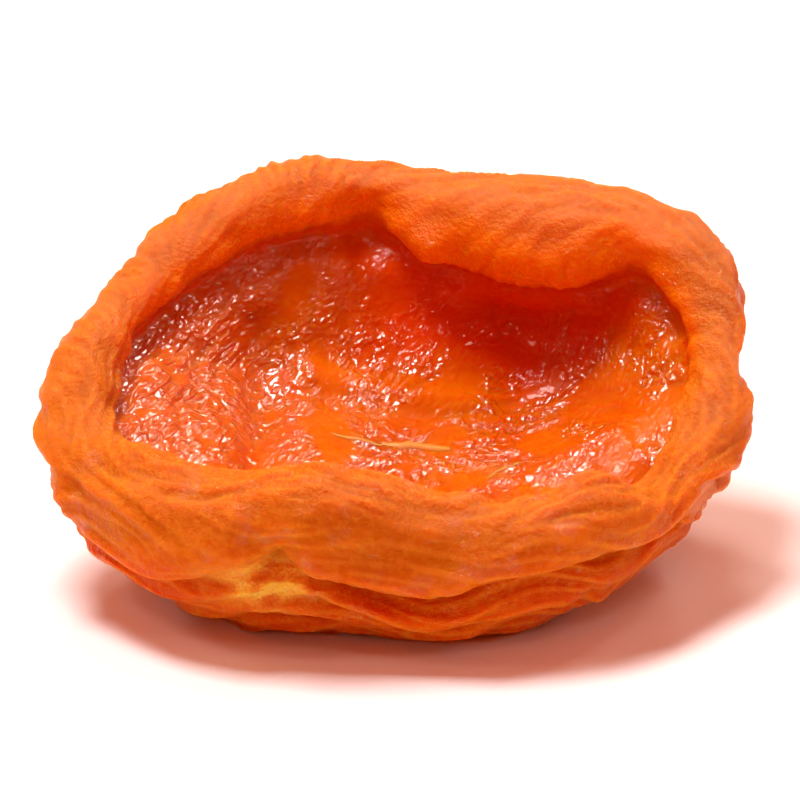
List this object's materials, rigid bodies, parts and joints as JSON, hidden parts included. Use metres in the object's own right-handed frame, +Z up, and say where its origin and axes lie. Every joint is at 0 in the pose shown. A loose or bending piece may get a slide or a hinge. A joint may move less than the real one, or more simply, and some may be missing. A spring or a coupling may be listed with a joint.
{
  "type": "dried apricot half",
  "caption": "Dried apricot half lying on its rounded skin side, with a thick wavy curled edge round an open hollow where the stone was.",
  "frame": {"origin": "centre of the half's box in X and Y, on the surface that it lies on", "axes": "+X along the half's length, +Y from its low front edge to its high back edge, +Z up"},
  "size_m": [0.0505, 0.0361, 0.0251],
  "materials": {
    "dried_fruit": "soft dried apricot: satin wrinkled orange skin that lets some light through, and a moist glossy deep orange hollow"
  },
  "bodies": {
    "root": {"apricot_half": "dried_fruit"}
  },
  "joints": []
}
